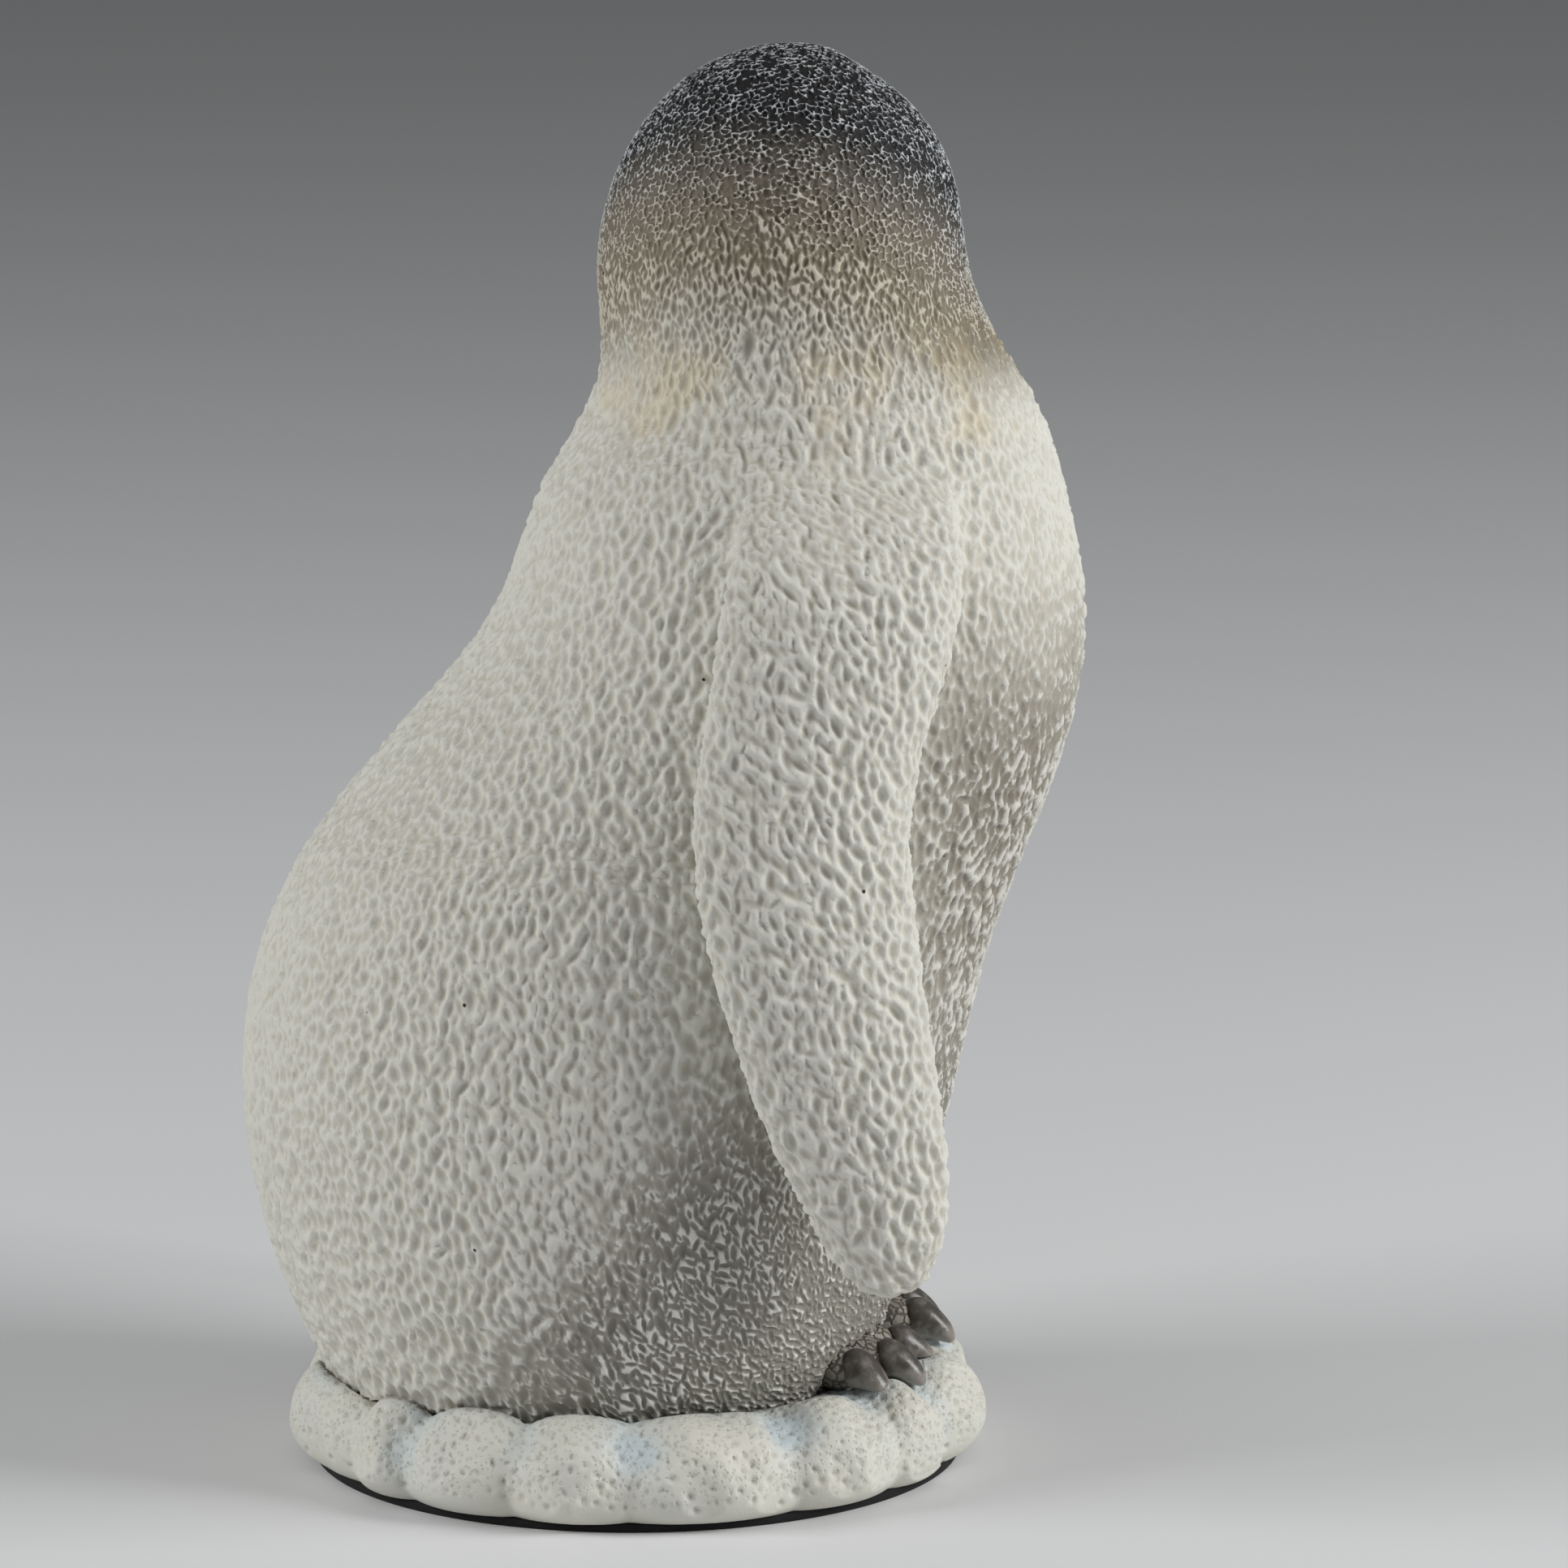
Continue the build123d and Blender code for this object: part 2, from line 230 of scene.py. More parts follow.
class Material:
    """A material with one Principled shader, and a sheet to draw its patterns on."""

    def __init__(self, name: str, **constants: Any) -> None:
        """Makes the material and sets what is the same all over it.

        Args:
            name: The material's name.
            **constants: Values of the shader's sockets, with underscores for spaces.
        """
        self.made = bpy.data.materials.new(name)
        self.made.use_nodes = True
        self.sheet = Sheet(self.made.node_tree)
        self.shader = self.made.node_tree.nodes["Principled BSDF"]
        for key, value in constants.items():
            socket = self.shader.inputs[key.replace("_", " ").title().replace("Ior", "IOR")]
            socket.default_value = (*value, 1.0) if isinstance(value, tuple) else value

    def feed(self, socket: str, value: Shade) -> None:
        """Links a pattern to one of the shader's sockets."""
        self.made.node_tree.links.new(value.socket, self.shader.inputs[socket])

    def place(self) -> Shade:
        """The place on the object in millimetres."""
        spot = self.sheet.node("ShaderNodeTexCoord", None, None, "Object")
        return self.sheet.vector("MULTIPLY", {0: spot, 1: (1 / MM,) * 3})

    def attribute(self, name: str) -> Shade:
        """The number that a piece's own attribute holds."""
        return self.sheet.node("ShaderNodeAttribute", {"attribute_name": name}, None, "Fac")

    def bump(self, height: Shade, depth: float, strength: float) -> None:
        """Roughens the surface by a relief of 0 to 1 that is so many millimetres deep."""
        inputs = {"Strength": strength, "Distance": depth * MM, "Height": height}
        self.feed("Normal", self.sheet.node("ShaderNodeBump", None, inputs))


def only(obj: Thing) -> None:
    """Makes one object the only selected one and the active one.

    Args:
        obj: The object.
    """
    bpy.ops.object.select_all(action="DESELECT")
    obj.select_set(True)
    bpy.context.view_layer.objects.active = obj


def edit(obj: Thing, work: Callable[[], Any], select: Optional[str] = "SELECT") -> None:
    """Runs edit-mode operators on one object.

    Args:
        obj: The object.
        work: What to do in edit mode.
        select: What happens to the selection first, if anything.
    """
    only(obj)
    bpy.ops.object.mode_set(mode="EDIT")
    if select:
        bpy.ops.mesh.select_all(action=select)
    work()
    bpy.ops.object.mode_set(mode="OBJECT")


def modify(obj: Thing, kind: str, **settings: Any) -> None:
    """Adds a modifier, sets it up and applies it.

    Args:
        obj: The object.
        kind: The modifier's type.
        **settings: The modifier's properties.
    """
    only(obj)
    modifier = obj.modifiers.new(kind, kind)
    for key, value in settings.items():
        setattr(modifier, key, value)
    bpy.ops.object.modifier_apply(modifier=modifier.name)


def remesh(obj: Thing, grid: float) -> None:
    """Covers an object with an even skin, with faces of a size in millimetres."""
    modify(obj, "REMESH", mode="VOXEL", voxel_size=grid * MM)


def smooth(obj: Thing, rounds: int, group: str = "") -> None:
    """Smooths an object, by the weights of a vertex group if one is named."""
    modify(obj, "SMOOTH", factor=0.5, iterations=rounds, vertex_group=group)


def copy_node(node: str, name: str) -> Thing:
    """Copies a CAD node's mesh into a new object and merges its loose triangles.

    Args:
        node: The CAD node.
        name: The new object's name.

    Returns:
        The new object.
    """
    obj = bpy.data.objects.new(name, frame["nodes"][node].data.copy())
    bpy.context.scene.collection.objects.link(obj)
    obj.data.materials.clear()
    edit(obj, lambda: bpy.ops.mesh.remove_doubles(threshold=WELD * MM))
    only(obj)
    bpy.ops.mesh.customdata_custom_splitnormals_clear()
    return obj


def even_copy(node: str, name: str, grid: float, rounds: int) -> Thing:
    """Copies a CAD node and covers it with an even smooth skin.

    Args:
        node: The CAD node.
        name: The copy's name.
        grid: The size of its faces in millimetres.
        rounds: How many times it is smoothed.

    Returns:
        The copy.
    """
    obj = copy_node(node, name)
    remesh(obj, grid)
    smooth(obj, rounds)
    return obj


def read(items: Any, key: str, width: int = 1, kind: type = float) -> Array:
    """Reads a property of all vertices, edges, faces or the like of a mesh.

    Args:
        items: The vertices or the like.
        key: The property.
        width: How many numbers each has.
        kind: Their type.

    Returns:
        The numbers, in rows if there are several for each.
    """
    flat = np.empty(len(items) * width, kind)
    items.foreach_get(key, flat)
    return flat.reshape(-1, width) if width > 1 else flat


def points_of(obj: Thing) -> Array:
    """The places of an object's vertices in millimetres."""
    return read(obj.data.vertices, "co", 3) / MM


def normals_of(obj: Thing) -> Array:
    """The directions in which an object's vertices face."""
    return read(obj.data.vertex_normals, "vector", 3)


def faces_of(obj: Thing) -> Array:
    """One vertex of each face of an object."""
    starts = read(obj.data.polygons, "loop_start", kind=int)
    return read(obj.data.loops, "vertex_index", kind=int)[starts]


def move_points(obj: Thing, points: Array) -> None:
    """Puts an object's vertices at places in millimetres."""
    obj.data.vertices.foreach_set("co", (points * MM).ravel())
    obj.data.update()


def store(obj: Thing, name: str, values: Array) -> None:
    """Keeps a number on each vertex, under a name that materials can read."""
    attribute = obj.data.attributes.new(name, "FLOAT", "POINT")
    attribute.data.foreach_set("value", values.astype(np.float32))


def weights(obj: Thing, name: str, values: Array) -> None:
    """Makes a vertex group with a weight for each vertex, in even steps.

    Args:
        obj: The object.
        name: The group's name.
        values: The weights.
    """
    group = obj.vertex_groups.new(name=name)
    levels = np.round(np.clip(values, 0, 1) * WEIGHT_STEPS).astype(int)
    for level in range(1, WEIGHT_STEPS + 1):
        chosen = np.flatnonzero(levels == level)
        if len(chosen):
            group.add(chosen.tolist(), level / WEIGHT_STEPS, "REPLACE")


def distances(node: str, points: Array) -> Array:
    """Measures how far places are from a CAD node's surface.

    Args:
        node: The CAD node.
        points: Places in millimetres.

    Returns:
        A distance for each place, in millimetres.
    """
    mesh = frame["nodes"][node].data
    polygons = [tuple(p.vertices) for p in mesh.polygons]
    tree = BVHTree.FromPolygons([v.co for v in mesh.vertices], polygons)
    return np.array([tree.find_nearest(Vector(p))[3] for p in points * MM]) / MM


def near_box(node: str, points: Array, reach: float) -> Array:
    """The numbers of the places in a CAD node's box or within reach of it, in millimetres."""
    low, high = (np.array(corner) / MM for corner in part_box(node))
    return np.flatnonzero(((points > low - reach) & (points < high + reach)).all(1))


def tree_of(points: Array) -> KDTree:
    """Sorts places for a search of the nearest ones.

    Args:
        points: The places.

    Returns:
        The search tree.
    """
    tree = KDTree(len(points))
    for index, spot in enumerate(points):
        tree.insert(spot, index)
    tree.balance()
    return tree


def spread(obj: Thing, values: Array, rounds: int) -> Array:
    """Softens values on an object's vertices by sharing them with the neighbours.

    Args:
        obj: The object.
        values: One value for each vertex.
        rounds: How many times they are shared.

    Returns:
        The softened values.
    """
    ends, many = read(obj.data.edges, "vertices", 2, int), len(values)
    there, back = ends.T
    neighbours = np.bincount(ends.ravel(), minlength=many)
    for _ in range(rounds):
        shared = np.bincount(there, values[back], many) + np.bincount(back, values[there], many)
        values = (values + shared) / (1 + neighbours)
    return values


def smooth_step(values: Array, low: float, high: float) -> Array:
    """Rises smoothly from 0 at a low value to 1 at a high one."""
    share = np.clip((values - low) / (high - low), 0, 1)
    return share * share * (3 - 2 * share)


def edit_faces(obj: Thing, chosen: Array, work: Callable[[], Any]) -> None:
    """Runs edit-mode operators on some faces of an object.

    Args:
        obj: The object.
        chosen: Which faces.
        work: What to do with them in edit mode.
    """
    bpy.context.tool_settings.mesh_select_mode = (False, False, True)
    edit(obj, lambda: None, "DESELECT")
    obj.data.polygons.foreach_set("select", chosen)
    edit(obj, work, None)


def split_off(obj: Thing, label: int, name: str) -> Thing:
    """Moves the faces whose vertices carry a label into an object of their own.

    Args:
        obj: The object with the attribute "part".
        label: The label.
        name: The new object's name.

    Returns:
        The new object.
    """
    values = read(obj.data.attributes["part"].data, "value", kind=np.float32)
    before = set(bpy.data.objects)
    chosen = np.round(values[faces_of(obj)]) == label
    edit_faces(obj, chosen, lambda: bpy.ops.mesh.separate(type="SELECTED"))
    piece = next(iter(set(bpy.data.objects) - before))
    piece.name = piece.data.name = name
    return piece


def close_ends(obj: Thing, depth: float) -> None:
    """Closes a piece's open ends by a flange that turns inward and a lid on it.

    Args:
        obj: The piece.
        depth: The flange's depth in millimetres.
    """
    bpy.context.tool_settings.mesh_select_mode = (False, True, False)
    loose = {"extend": False, "use_wire": False, "use_boundary": True, "use_multi_face": False,
             "use_non_contiguous": False, "use_verts": False}
    points, facing = points_of(obj), normals_of(obj)
    owner = {tuple(spot): index for index, spot in enumerate(np.round(points, DECIMALS))}

    def draw_flange() -> None:
        """Draws a second edge along each open one."""
        bpy.ops.mesh.select_non_manifold(**loose)
        bpy.ops.mesh.mark_sharp()
        bpy.ops.mesh.extrude_edges_indiv()

    def lay_lid() -> None:
        """Fills every open edge loop."""
        bpy.ops.mesh.select_non_manifold(**loose)
        bpy.ops.mesh.fill_holes(sides=0)
        bpy.ops.mesh.select_all(action="SELECT")
        bpy.ops.mesh.normals_make_consistent(inside=False)

    edit(obj, draw_flange, "DESELECT")
    moved = points_of(obj)
    for index in range(len(points), len(moved)):
        moved[index] -= depth * facing[owner[tuple(np.round(moved[index], DECIMALS))]]
    move_points(obj, moved)
    edit(obj, lay_lid, "DESELECT")
    if (normals_of(obj)[:len(facing)] * facing).sum() < 0:
        edit(obj, bpy.ops.mesh.flip_normals)


def drop_underside(obj: Thing, level: float) -> None:
    """Deletes a skin's flat underside, which nothing shows, so that a lid can close it.

    Args:
        obj: The skin.
        level: The height that the underside lies below, in millimetres.
    """
    low = points_of(obj)[:, 2] < level
    down = np.array([polygon.normal.z for polygon in obj.data.polygons]) < FLAT_DOWN
    edit_faces(obj, low[faces_of(obj)] & down, lambda: bpy.ops.mesh.delete(type="FACE"))


def keep_outside(obj: Thing) -> None:
    """Deletes the shells that lie inside the one with the highest vertex.

    Args:
        obj: The object.
    """
    def drop_rest() -> None:
        """Deletes all that isn't linked to the selected vertex."""
        bpy.ops.mesh.select_linked()
        bpy.ops.mesh.select_all(action="INVERT")
        bpy.ops.mesh.delete(type="VERT")

    top = int(np.argmax(points_of(obj)[:, 2]))
    bpy.context.tool_settings.mesh_select_mode = (True, False, False)
    edit(obj, lambda: None, "DESELECT")
    obj.data.vertices[top].select = True
    edit(obj, drop_rest, None)


def hand_over(obj: Thing, material: Material, slot: Slot, *nodes: str) -> None:
    """Dresses a finished piece and fixes it to the frame in place of its CAD nodes.

    Args:
        obj: The piece.
        material: Its material.
        slot: Not used.
        *nodes: The CAD nodes that it stands for.
    """
    obj.data.materials.clear()
    obj.data.materials.append(material.made)
    only(obj)
    bpy.ops.object.shade_smooth()
    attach(obj, ROOT)
    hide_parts(*nodes)
    obj.data.calc_loop_triangles()
    LOG.info("%s: %d triangles for %s", obj.name, len(obj.data.loop_triangles), ", ".join(nodes))


@dataclass(frozen=True)
class Gouge:
    """One tool's cuts: half sizes, depth and room in millimetres, sway in degrees."""

    half_width: float
    half_length: float
    depth: float
    room_across: float
    room_along: float
    sway: float = 20.0
    variety: float = 0.4


@dataclass(frozen=True)
class Net:
    """How the thin ridges between crowded pits wander and break, in millimetres."""

    slope: float = 0.17
    warp: float = 0.3
    warp_size: float = 0.7
    floors: Span = (0.6, 1.2)
    breaks: Span = (0.05, 0.4)
    break_size: float = 0.9
    break_depth: float = 0.75


class Carver:
    """Cuts gouge strokes into a skin and remembers how deep each vertex went."""

    size_span: Span = (0.8, 1.2)
    least_reach: float = 0.8
    reach_share: float = 0.4
    same_facing: float = 0.3

    def __init__(self, obj: Thing, seed: int) -> None:
        """Takes the skin's vertices.

        Args:
            obj: The skin.
            seed: What the scatter of the strokes starts from.
        """
        self.obj = obj
        self.points, self.facing = points_of(obj), normals_of(obj)
        self.depth = np.zeros(len(self.points))
        self.share = np.zeros(len(self.points))
        self.scale = np.ones(len(self.points))
        self.dice = np.random.default_rng(seed)
        self.tree = tree_of(self.points)

    def scatter(self, where: Array, along: Array, tool: Gouge) -> Array:
        """Spreads cuts of mixed sizes evenly over a region.

        Args:
            where: Which vertices are in the region.
            along: The direction of the strokes at each vertex.
            tool: The tool.

        Returns:
            The vertices where the cuts lie.
        """
        free, centres = where.copy(), []
        for spot in self.dice.permutation(np.flatnonzero(where)):
            if free[spot]:
                centres.append(spot)
                self.scale[spot] = self.dice.uniform(1 - tool.variety, 1 + tool.variety)
                near, away = self.around(spot, tool.room_along * self.scale[spot])
                lift = away.dot(along[spot])
                beside = (away ** 2).sum(1) - lift ** 2
                share = (lift / tool.room_along) ** 2 + beside / tool.room_across ** 2
                free[near[share < self.scale[spot] ** 2]] = False
        return np.array(centres)

    def around(self, spot: int, reach: float) -> Tuple[Array, Array]:
        """Finds the vertices round one of them.

        Args:
            spot: The vertex in the middle.
            reach: How far to look.

        Returns:
            Their numbers, and how far each is from the middle.
        """
        found = self.tree.find_range(self.points[spot], reach)
        near = np.fromiter((item[1] for item in found), int, len(found))
        return near, self.points[near] - self.points[spot]

    def cut(self, centres: Array, along: Array, tool: Gouge) -> None:
        """Cuts a scoop at each centre.

        Args:
            centres: The vertices where the scoops lie.
            along: The direction of the strokes at each vertex.
            tool: The tool.
        """
        count = len(centres)
        sways = np.radians(self.dice.normal(0, tool.sway, count))
        sizes = self.dice.uniform(*self.size_span, (count, 3))
        sizes = sizes * (tool.half_width, tool.half_length, tool.depth)
        sizes *= self.scale[centres][:, None]
        for centre, sway, (wide, long, deep) in zip(centres, sways, sizes):
            out = self.facing[centre]
            run = along[centre] - out * along[centre].dot(out)
            run /= max(np.linalg.norm(run), TINY)
            side = np.cross(out, run)
            keep, lean = math.cos(sway), math.sin(sway)
            run, side = run * keep + side * lean, side * keep - run * lean
            near, away = self.around(centre, long)
            scoop = 1 - (away.dot(side) / wide) ** 2 - (away.dot(run) / long) ** 2
            reach = max(self.least_reach, self.reach_share * long)
            turned = self.facing[near].dot(out) < self.same_facing
            scoop[turned | (np.abs(away.dot(out)) > reach)] = 0
            self.depth[near] = np.maximum(self.depth[near], scoop * deep)
            self.share[near] = np.maximum(self.share[near], scoop)

    def net(self, centres: Array, fade: Array, depth: float, ridges: Net) -> None:
        """Sinks a pit round each centre, so that a thin wandering ridge is left between each two.

        Args:
            centres: The vertices in the middle of the pits.
            fade: How much of the net each vertex takes, 0 to 1.
            depth: The depth of the pits in millimetres.
            ridges: How the ridges run.
        """
        tree = tree_of(self.points[centres])
        chosen = np.flatnonzero(fade > 0)
        spots = [Vector(spot) for spot in self.points[chosen]]
        gaps, owners = np.empty(len(chosen)), np.empty(len(chosen), int)
        for row, spot in enumerate(spots):
            warp = noise.noise_vector(spot / ridges.warp_size) * ridges.warp
            first, second = tree.find_n(spot + warp, 2)
            gaps[row], owners[row] = second[2] - first[2], first[1]
        floors = depth * self.dice.uniform(*ridges.floors, len(centres))[owners]
        broken = np.array([noise.noise(spot / ridges.break_size) for spot in spots])
        breaks = ridges.break_depth * smooth_step(broken, *ridges.breaks)
        pit = np.maximum(smooth_step(gaps, 0.0, 2 * ridges.slope), breaks) * fade[chosen]
        self.depth[chosen] = np.maximum(self.depth[chosen], pit * floors)
        self.share[chosen] = np.maximum(self.share[chosen], pit)

    def sink(self) -> None:
        """Moves the vertices to the depths that were cut."""
        move_points(self.obj, self.points - self.facing * self.depth[:, None])

    def finish(self) -> None:
        """Sinks the cuts and keeps the height on the vertices, 1 on the crests and 0 at the floors."""
        self.sink()
        store(self.obj, "height", 1 - self.share)


@dataclass(frozen=True)
class Strokes:
    """How the strokes run: down the body, round the hips towards the feet, aslant on the flippers."""

    hip_forward: float = 43.0
    hip_height: float = 46.0
    turn_span: Span = (-12, 18)
    slant: float = 0.3

    def along(self, points: Array, blades: Array) -> Array:
        """The direction of the strokes at each place.

        Args:
            points: Places in millimetres.
            blades: Which of them are on a flipper.

        Returns:
            Unit vectors.
        """
        ahead, above = -points[:, 1] - self.hip_forward, points[:, 2] - self.hip_height
        turn = 1 - smooth_step(above, *self.turn_span)
        forward = turn * -above
        down = turn * -ahead + (1 - turn) * np.hypot(ahead, above)
        forward, down = np.where(blades, self.slant, forward), np.where(blades, 1.0, down)
        run = np.stack([np.zeros(len(points)), -forward, -down], 1)
        return run / np.linalg.norm(run, axis=1)[:, None]


@dataclass(frozen=True)
class Regions:
    """Where the down changes, in millimetres, for arrays of places and for shaders alike."""

    flank_start: float = 24.5
    flank_slope: float = 0.605
    head_forward: float = 18.1
    face_across: float = 0.966
    face_ahead: float = 0.259
    cap_level: float = 147.0
    cap_slope: float = 0.7

    def into_flank(self, ahead: Measure, level: Measure) -> Measure:
        """How far places lie ahead of the flank's slanting rear edge."""
        return ahead + self.flank_start - level * self.flank_slope

    def toward_face(self, across: Measure, ahead: Measure) -> Measure:
        """How far places lie from the head's axis towards the face."""
        return across * self.face_across + (ahead - self.head_forward) * self.face_ahead

    def beside_face(self, across: Measure, ahead: Measure) -> Measure:
        """How far places lie to the side of the face's middle."""
        return (ahead - self.head_forward) * self.face_across - across * self.face_ahead

    def above_cap(self, level: Measure, toward: Measure) -> Measure:
        """How far places lie above the slanting edge of the dark cap."""
        return level + toward * self.cap_slope - self.cap_level


@dataclass(frozen=True)
class Coat:
    """A region's paint: a brushed crest over a washed pit, and how the brush takes.

    The brush takes between two heights, with some grain, and misses a share of the crests. The
    edge is where the coat begins and where it is whole.
    """

    crest: Colour
    pit: Colour
    brush: Span
    edge: Span = (0, 1)
    grain: float = 0.5
    missed: float = 0.0


@dataclass(frozen=True)
class DownPaint:
    """The chick's paint: cream over a wash, dark on the flanks and the crown.

    Sizes and spans of places are in millimetres, and a span may fall.
    """

    regions: Regions = Regions()
    cream: Coat = Coat(paint(216, 215, 206), paint(197, 192, 179), (0.0, 0.5), grain=0.2)
    # Grey on the chest: partly grey paint and partly painted shade, stronger towards the front and low
    # down.
    grey: Coat = Coat(paint(208, 206, 198), paint(128, 121, 108), (0.3, 0.85), (22.0, 44.0))
    dark: Coat = Coat(paint(220, 219, 212), paint(138, 135, 125), (0.25, 0.85), (-14.0, 14.0))
    nape: Coat = Coat(paint(198, 191, 174), paint(130, 121, 103), (0.3, 0.85), (-30.0, -12.0))
    brow: Coat = Coat(paint(206, 204, 196), paint(106, 99, 88), (0.42, 0.95), (-15.0, 2.0), missed=0.5)
    crown: Coat = Coat(paint(208, 213, 217), paint(34, 33, 34), (0.5, 0.95), (-4.0, 9.0), missed=1.0)
    face: Coat = Coat(paint(220, 218, 210), paint(190, 185, 175), (0.0, 0.5), (1.15, 0.85), grain=0.2)
    ochre: Colour = paint(212, 194, 152)
    speck: Colour = paint(60, 48, 38)
    fine_size: float = 0.45
    blotch_size: float = 9.0
    miss_size: float = 1.3
    miss_span: Span = (0.36, 0.58)
    miss_share: float = 0.6
    wander: float = 16.0
    chest_wander: float = 0.6
    chest_levels: Span = (120, 84)
    chest_share: float = 0.9
    flank_levels: Span = (70, 34)
    neck_wander: float = 0.4
    neck_levels: Span = (127, 140)
    cap_wander: float = 0.25
    face_level: float = 151.0
    face_half: float = 18.0
    face_rise: float = 11.0
    face_drop: float = 17.0
    face_grain: float = 0.4
    face_front: Span = (0, 6)
    peak_slope: float = 1.1
    peak_grain: float = 4.0
    peak_levels: Span = (154, 151)
    collar_low: Span = (126, 133)
    collar_high: Span = (144, 137)
    collar_blotch: Span = (0.42, 0.66)
    collar_share: float = 0.34
    speck_scale: float = 0.1
    speck_edge: Span = (0.028, 0.020)
    roughness: float = 0.6
    sheen: float = 0.25
    bump_depth: float = 0.12
    bump_strength: float = 0.5

    def material(self) -> Material:
        """Makes the material.

        Returns:
            The material.
        """
        made = Material("down_paint", roughness=self.roughness, specular_ior_level=self.sheen)
        sheet, place = made.sheet, made.place()
        across, y, level = sheet.parts(place)
        ahead = 0 - y
        height, body = made.attribute("height"), 1 - made.attribute("blade")
        fine = sheet.noise(place, self.fine_size)
        grain = fine - NOISE_MEAN
        blotch = sheet.noise(place, self.blotch_size, detail=3.0)
        loose = (blotch - NOISE_MEAN) * self.wander
        ragged = level + loose
        misses = sheet.noise(place, self.miss_size).step(*self.miss_span).partly(self.miss_share)

        def tone(coat: Coat) -> Shade:
            """A coat's colour on the crests and in the pits."""
            brushed = (height + grain * coat.grain).step(*coat.brush) * misses.partly(coat.missed)
            return sheet.mix(brushed, coat.pit, coat.crest)

        # Where the chest's grey paint and painted shade lie: more towards the front and below, none on the
        # flippers.
        chest = (ahead + loose * self.chest_wander).step(*self.grey.edge)
        chest = chest * ragged.step(*self.chest_levels) * body * self.chest_share
        flank = (self.regions.into_flank(ahead, level) + loose).step(*self.dark.edge)
        flank = flank * ragged.step(*self.flank_levels) * body
        toward = self.regions.toward_face(across, ahead)
        cap = self.regions.above_cap(level, toward) + loose * self.cap_wander
        neck = (level + loose * self.neck_wander).step(*self.neck_levels)
        face = self.face_share(level, toward, self.regions.beside_face(across, ahead), grain)
        colour = tone(self.cream)
        for share, coat in ((chest, self.grey), (flank, self.dark),
                            (cap.step(*self.nape.edge) * neck, self.nape),
                            (cap.step(*self.brow.edge) * neck, self.brow),
                            (cap.step(*self.crown.edge) * neck, self.crown), (face, self.face)):
            colour = sheet.mix(share, colour, tone(coat))
        collar = ragged.step(*self.collar_low) * ragged.step(*self.collar_high)
        collar = collar * blotch.step(*self.collar_blotch) * self.collar_share
        colour = sheet.mix(collar, colour, self.ochre)
        specks = sheet.cells(place, self.speck_scale).step(*self.speck_edge)
        made.feed("Base Color", sheet.mix(specks, colour, self.speck))
        made.bump(fine, self.bump_depth, self.bump_strength)
        return made

    def face_share(self, level: Shade, toward: Shade, beside: Shade, grain: Shade) -> Shade:
        """How much of the pale face each place takes: an oval with a dark peak above the bill.

        Args:
            level: The height.
            toward: How far a place lies towards the face.
            beside: How far it lies to the side of the face's middle.
            grain: Fine noise round 0.

        Returns:
            The share, 0 to 1.
        """
        rise = (level - self.face_level).math("MAXIMUM", 0.0)
        drop = (self.face_level - level).math("MAXIMUM", 0.0)
        oval = (beside / self.face_half) ** 2 + (rise / self.face_rise) ** 2 + (drop / self.face_drop) ** 2
        oval = (oval + grain * self.face_grain).step(*self.face.edge)
        peak = level - beside.math("ABSOLUTE") * self.peak_slope + grain * self.peak_grain
        return oval * toward.step(*self.face_front) * peak.step(*self.peak_levels)


